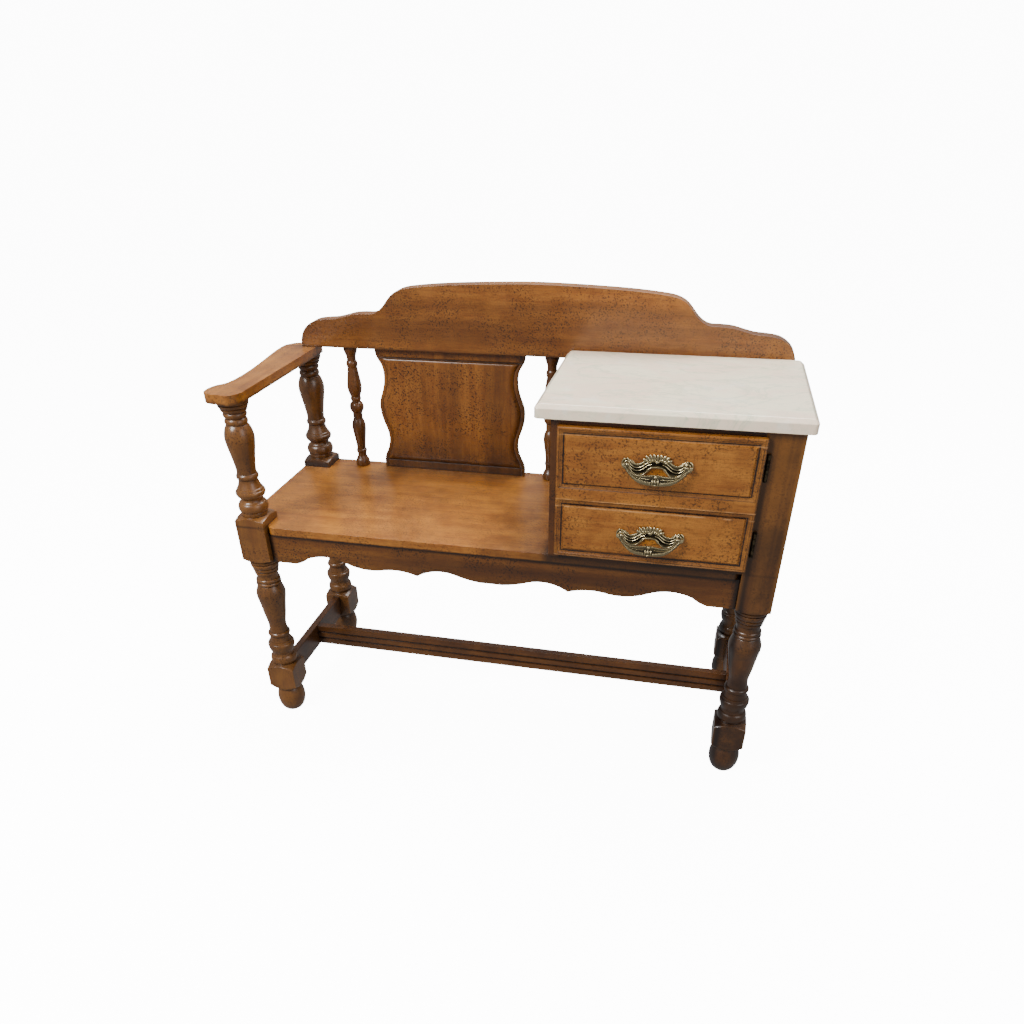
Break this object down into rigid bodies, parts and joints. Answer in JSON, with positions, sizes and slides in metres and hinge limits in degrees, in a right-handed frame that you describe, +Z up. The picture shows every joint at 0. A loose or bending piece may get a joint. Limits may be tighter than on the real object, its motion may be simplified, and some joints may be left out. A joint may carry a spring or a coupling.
{
  "type": "telephone bench",
  "caption": "Bench seat on turned legs with a scalloped back and an arm, joined to a marble-topped cabinet with a swinging door and drop handles.",
  "frame": {"origin": "on the floor, under the middle of the whole bench", "axes": "+X along the bench from the arm to the cabinet, +Y from front to back, +Z up"},
  "size_m": [0.9801, 0.3927, 0.8],
  "materials": {
    "maple": "glazed honey-brown lacquer, satin",
    "plain_wood": "stained, dull",
    "marble": "polished cream stone with grey-green veins",
    "antique_brass": "antiqued, darkened in the hollows",
    "steel": "plain",
    "catch_case": "brown moulded"
  },
  "bodies": {
    "frame": {"front_left_leg": "maple", "back_left_leg": "maple", "front_right_leg": "maple", "back_right_leg": "maple", "left_side_stretcher": "maple", "right_side_stretcher": "maple", "center_stretcher": "maple", "front_apron": "maple", "back_apron": "maple", "right_apron": "maple", "left_apron": "maple", "seat_board": "maple", "arm_rest": "maple", "crest_rail": "maple", "back_splat": "maple", "left_back_spindle": "maple", "right_back_spindle": "maple", "cabinet_left_side": "maple", "cabinet_right_side": "maple", "cabinet_top_rail": "maple", "cabinet_base_rail": "maple", "front_left_corner_block": "plain_wood", "back_left_corner_block": "plain_wood", "front_right_corner_block": "plain_wood", "back_right_corner_block": "plain_wood", "cabinet_back": "plain_wood", "cabinet_back_rail": "plain_wood", "crest_dowel": "plain_wood", "marble_top": "marble", "upper_hinge_frame_leaf": "antique_brass", "upper_hinge_pin": "antique_brass", "lower_hinge_frame_leaf": "antique_brass", "lower_hinge_pin": "antique_brass", "catch_magnet": "catch_case"},
    "door": {"cabinet_door": "maple", "upper_hinge_door_leaf": "antique_brass", "lower_hinge_door_leaf": "antique_brass", "catch_strike": "steel", "upper_pull_plate": "antique_brass", "lower_pull_plate": "antique_brass", "upper_pull_posts": "antique_brass", "lower_pull_posts": "antique_brass", "upper_pull_nuts": "antique_brass", "lower_pull_nuts": "antique_brass"},
    "upper_handle": {"upper_bail": "antique_brass"},
    "lower_handle": {"lower_bail": "antique_brass"}
  },
  "joints": [
    {"name": "door_hinge", "type": "hinge", "parent": "frame", "child": "door", "pos_m": [0.43, -0.166, 0.55225], "axis": [0, 0, 1], "range_deg": [0, 110]},
    {"name": "upper_bail_pivot", "type": "hinge", "parent": "door", "child": "upper_handle", "pos_m": [0.27025, -0.1816, 0.61178], "axis": [-1, 0, 0], "range_deg": [0, 80]},
    {"name": "lower_bail_pivot", "type": "hinge", "parent": "door", "child": "lower_handle", "pos_m": [0.27025, -0.1816, 0.49353], "axis": [-1, 0, 0], "range_deg": [0, 80]}
  ]
}
